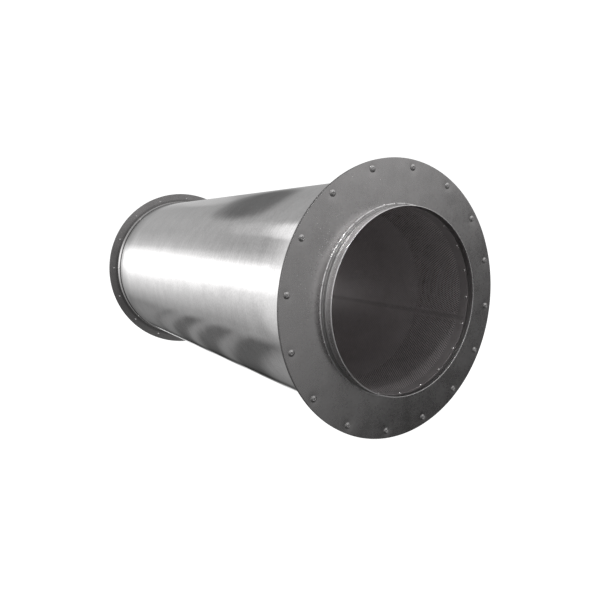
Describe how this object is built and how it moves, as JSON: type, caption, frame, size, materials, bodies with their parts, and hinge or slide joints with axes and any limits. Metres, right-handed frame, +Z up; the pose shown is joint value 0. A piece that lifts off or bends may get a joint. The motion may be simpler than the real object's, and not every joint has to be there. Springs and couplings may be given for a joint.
{
  "type": "duct sound attenuator",
  "caption": "Round duct silencer: a flanged sheet casing lined with mineral wool behind a perforated liner, with a short beaded spigot at each end.",
  "frame": {"origin": "on the duct's axis, midway between the two spigot rims", "axes": "+X along the duct's axis, out of the front end; +Z up as the picture shows it; the two ends are alike but for the turn of their screws"},
  "size_m": [1.0336, 0.468, 0.468],
  "materials": {
    "casing_sheet": "galvanised sheet, polished by rolling",
    "ring_steel": "dull zinc",
    "plate_sheet": "satin galvanised sheet",
    "spigot_sheet": "galvanised sheet",
    "liner_sheet": "perforated galvanised sheet",
    "screw_zinc": "zinc plated",
    "fleece": "matte black glass fleece",
    "wool": "matte mineral wool",
    "sealing_strip": "matte",
    "sealant": "matte"
  },
  "bodies": {
    "root": {"outer_casing": "casing_sheet", "perforated_liner": "liner_sheet", "liner_fleece": "fleece", "front_flange_ring": "ring_steel", "front_sealing_strip": "sealing_strip", "front_end_plate": "plate_sheet", "front_flange_screws": "screw_zinc", "front_spigot": "spigot_sheet", "front_sealant": "sealant", "front_wool_mat": "wool", "rear_flange_ring": "ring_steel", "rear_sealing_strip": "sealing_strip", "rear_end_plate": "plate_sheet", "rear_flange_screws": "screw_zinc", "rear_spigot": "spigot_sheet", "rear_sealant": "sealant", "rear_wool_mat": "wool"}
  },
  "joints": []
}
